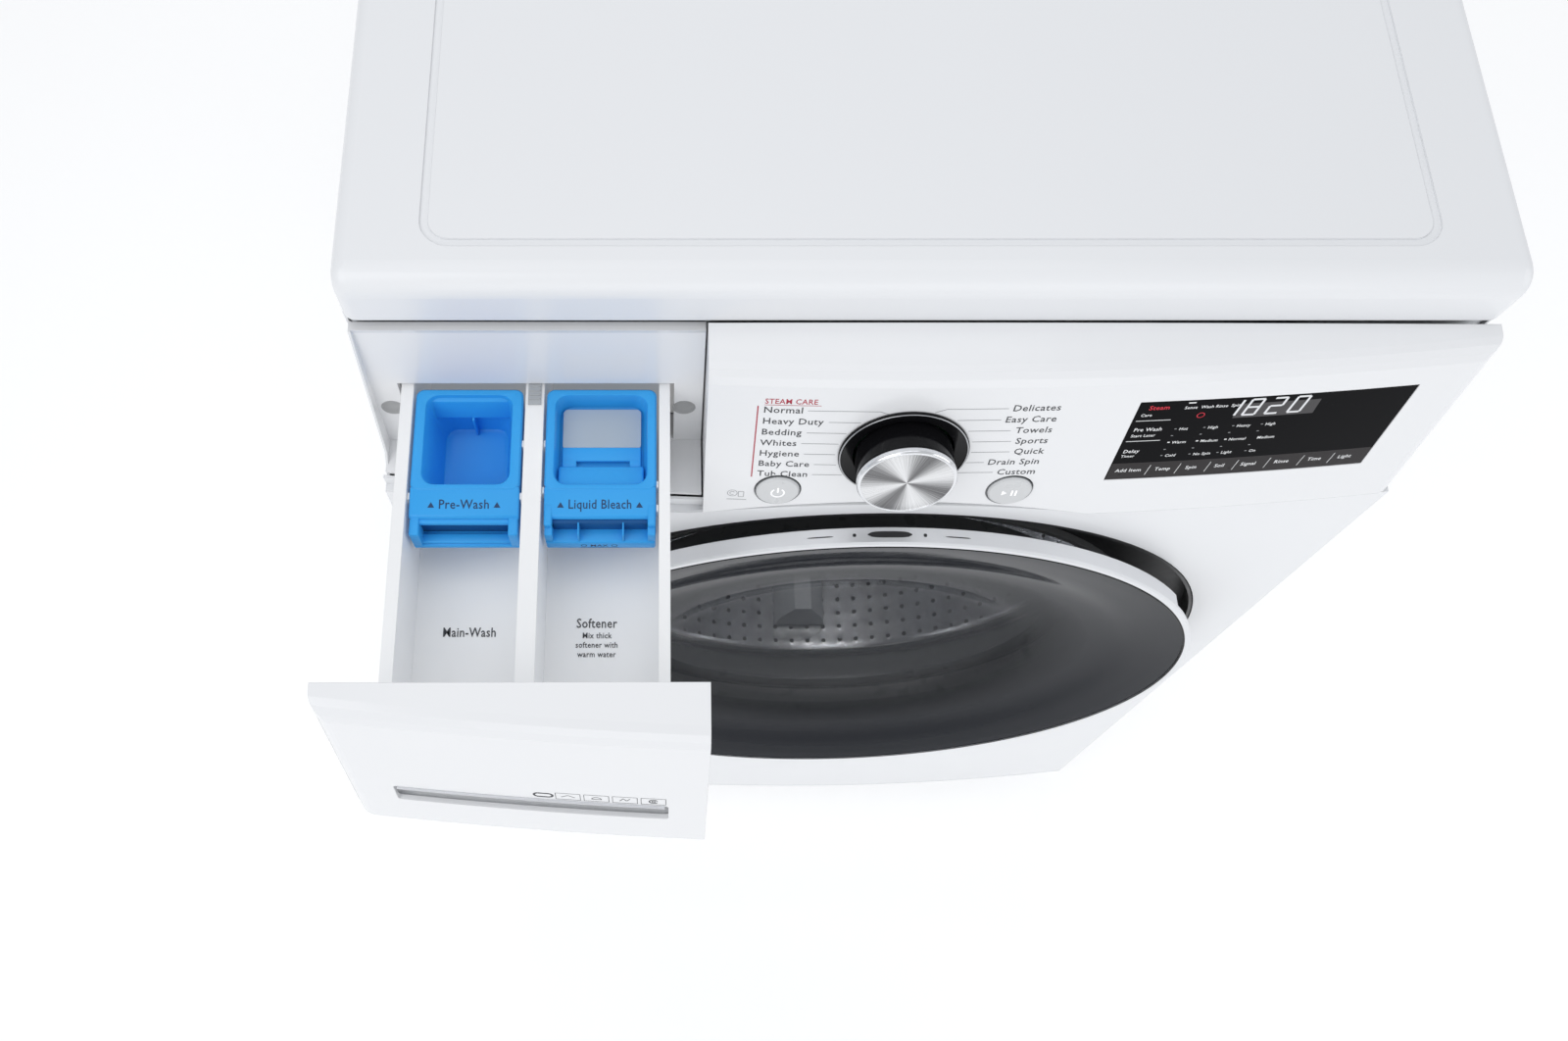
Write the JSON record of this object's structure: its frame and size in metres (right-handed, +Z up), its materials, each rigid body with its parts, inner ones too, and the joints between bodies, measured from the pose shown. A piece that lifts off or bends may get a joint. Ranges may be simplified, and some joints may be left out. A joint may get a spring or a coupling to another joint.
{
  "type": "front load washing machine",
  "caption": "Front load washing machine with a pulled-out detergent drawer with two lift-out cups, round smoked door, leaning control panel and sprung tub with a spinning drum.",
  "frame": {"origin": "centre of the footprint on the floor, under the feet, with the detergent drawer pulled out as at rest", "axes": "+X to the right seen from the front, +Y from the front to the back, +Z up; the rest pose is the pictured one, with the drawer pulled out and the door shut"},
  "size_m": [0.686, 0.9376, 0.991],
  "materials": {
    "enamel_white": "satin enamel",
    "panel_white": "gloss",
    "zinc_steel": "galvanised",
    "tray_white": "fine matt",
    "trim_metal": "brushed",
    "tab_grey": "matt",
    "cup_blue": "satin",
    "cup_window": "frosted plastic",
    "screw_steel": "plated",
    "gloss_black": "high gloss",
    "knob_metal": "spun",
    "button_white": "satin",
    "board_green": "lacquered",
    "dark_plastic": "matt",
    "service_white": "matt",
    "ring_chrome": "satin chrome",
    "smoked_window": "smoked",
    "frame_grey": "gloss",
    "bowl_glass": "clear",
    "gasket_grey": "matt rubber",
    "tub_plastic": "glass filled",
    "ballast_grey": "cast concrete",
    "heater_steel": "stainless",
    "stator_iron": "lacquered windings",
    "drum_steel": "polished",
    "lifter_grey": "matt",
    "cast_light_alloy": "as cast",
    "foot_rubber": "matt",
    "cap_dark": "matt"
  },
  "bodies": {
    "cabinet": {"top_cover": "enamel_white", "side_panel_left": "enamel_white", "side_panel_right": "enamel_white", "rear_panel": "zinc_steel", "rear_cover": "zinc_steel", "base_pan": "zinc_steel", "front_panel": "enamel_white", "front_crossbar": "zinc_steel", "control_fascia": "panel_white", "recess_frame": "panel_white", "recess_screws": "screw_steel", "dispenser_housing": "tray_white", "knob_bezel": "gloss_black", "panel_board": "board_green", "display_window": "gloss_black", "main_board_box": "service_white", "door_surround": "dark_plastic", "hinge_bracket": "screw_steel", "door_lock": "dark_plastic", "gasket": "gasket_grey", "feet": "foot_rubber", "drain_pump": "service_white", "inlet_valves": "service_white", "suspension_springs": "screw_steel", "spring_hangers": "zinc_steel", "damper_cylinders": "cap_dark", "power_inlet": "dark_plastic", "drain_outlet": "dark_plastic"},
    "drawer": {"drawer_front": "panel_white", "handle_pocket": "panel_white", "handle_trim": "trim_metal", "drawer_tub": "tray_white", "release_tab": "tab_grey"},
    "prewash_insert": {"prewash_cup": "cup_blue"},
    "bleach_insert": {"bleach_cup": "cup_blue", "bleach_window": "cup_window"},
    "knob": {"knob_cap": "knob_metal"},
    "power_key": {"power_button": "button_white"},
    "start_key": {"start_button": "button_white"},
    "door": {"door_ring": "ring_chrome", "door_glass": "smoked_window", "door_back_frame": "frame_grey", "door_bowl": "bowl_glass", "latch_hook": "screw_steel", "hinge_arm": "screw_steel"},
    "tub": {"tub_front": "tub_plastic", "tub_rear": "tub_plastic", "counterweights": "ballast_grey", "heater_element": "heater_steel", "bearings": "heater_steel", "stator": "stator_iron", "damper_rods": "heater_steel"},
    "drum": {"drum_shell": "drum_steel", "drum_back_plate": "drum_steel", "drum_lifters": "lifter_grey", "spider": "cast_light_alloy", "drum_shaft": "heater_steel", "rotor": "cast_light_alloy"},
    "filter": {"pump_filter": "cap_dark"},
    "flap": {"service_flap": "service_white"}
  },
  "joints": [
    {"name": "drawer_slide", "type": "slide", "parent": "cabinet", "child": "drawer", "axis": [0, -1, 0], "range_m": [-0.218, 0]},
    {"name": "prewash_cup_lift", "type": "slide", "parent": "drawer", "child": "prewash_insert", "axis": [0, 0, 1], "range_m": [0, 0.1]},
    {"name": "bleach_cup_lift", "type": "slide", "parent": "drawer", "child": "bleach_insert", "axis": [0, 0, 1], "range_m": [0, 0.1]},
    {"name": "knob_turn", "type": "hinge", "parent": "cabinet", "child": "knob", "pos_m": [-0.002, -0.23798, 0.88], "axis": [0, -0.9746, 0.2241], "continuous": true},
    {"name": "power_press", "type": "slide", "parent": "cabinet", "child": "power_key", "axis": [0, 0.9746, -0.2241], "range_m": [0, 0.002], "stiffness_N_per_m": 400},
    {"name": "start_press", "type": "slide", "parent": "cabinet", "child": "start_key", "axis": [0, 0.9746, -0.2241], "range_m": [0, 0.002], "stiffness_N_per_m": 400},
    {"name": "door_swing", "type": "hinge", "parent": "cabinet", "child": "door", "pos_m": [-0.282, -0.26775, 0.486], "axis": [0, 0, -1], "range_deg": [0, 90]},
    {"name": "tub_bounce", "type": "slide", "parent": "cabinet", "child": "tub", "axis": [0, 0, 1], "range_m": [-0.01, 0.01], "stiffness_N_per_m": 40000, "springref_m": 0.00929, "deforming": ["suspension_springs", "gasket"]},
    {"name": "drum_spin", "type": "hinge", "parent": "tub", "child": "drum", "pos_m": [0, -0.28625, 0.516], "axis": [0, 0.9986, -0.0523], "continuous": true},
    {"name": "filter_turn", "type": "hinge", "parent": "cabinet", "child": "filter", "pos_m": [-0.228, -0.21925, 0.096], "axis": [0, -1, 0], "range_deg": [0, 90]},
    {"name": "flap_swing", "type": "hinge", "parent": "cabinet", "child": "flap", "pos_m": [-0.23, -0.27775, 0.0635], "axis": [1, 0, 0], "range_deg": [0, 60]}
  ]
}
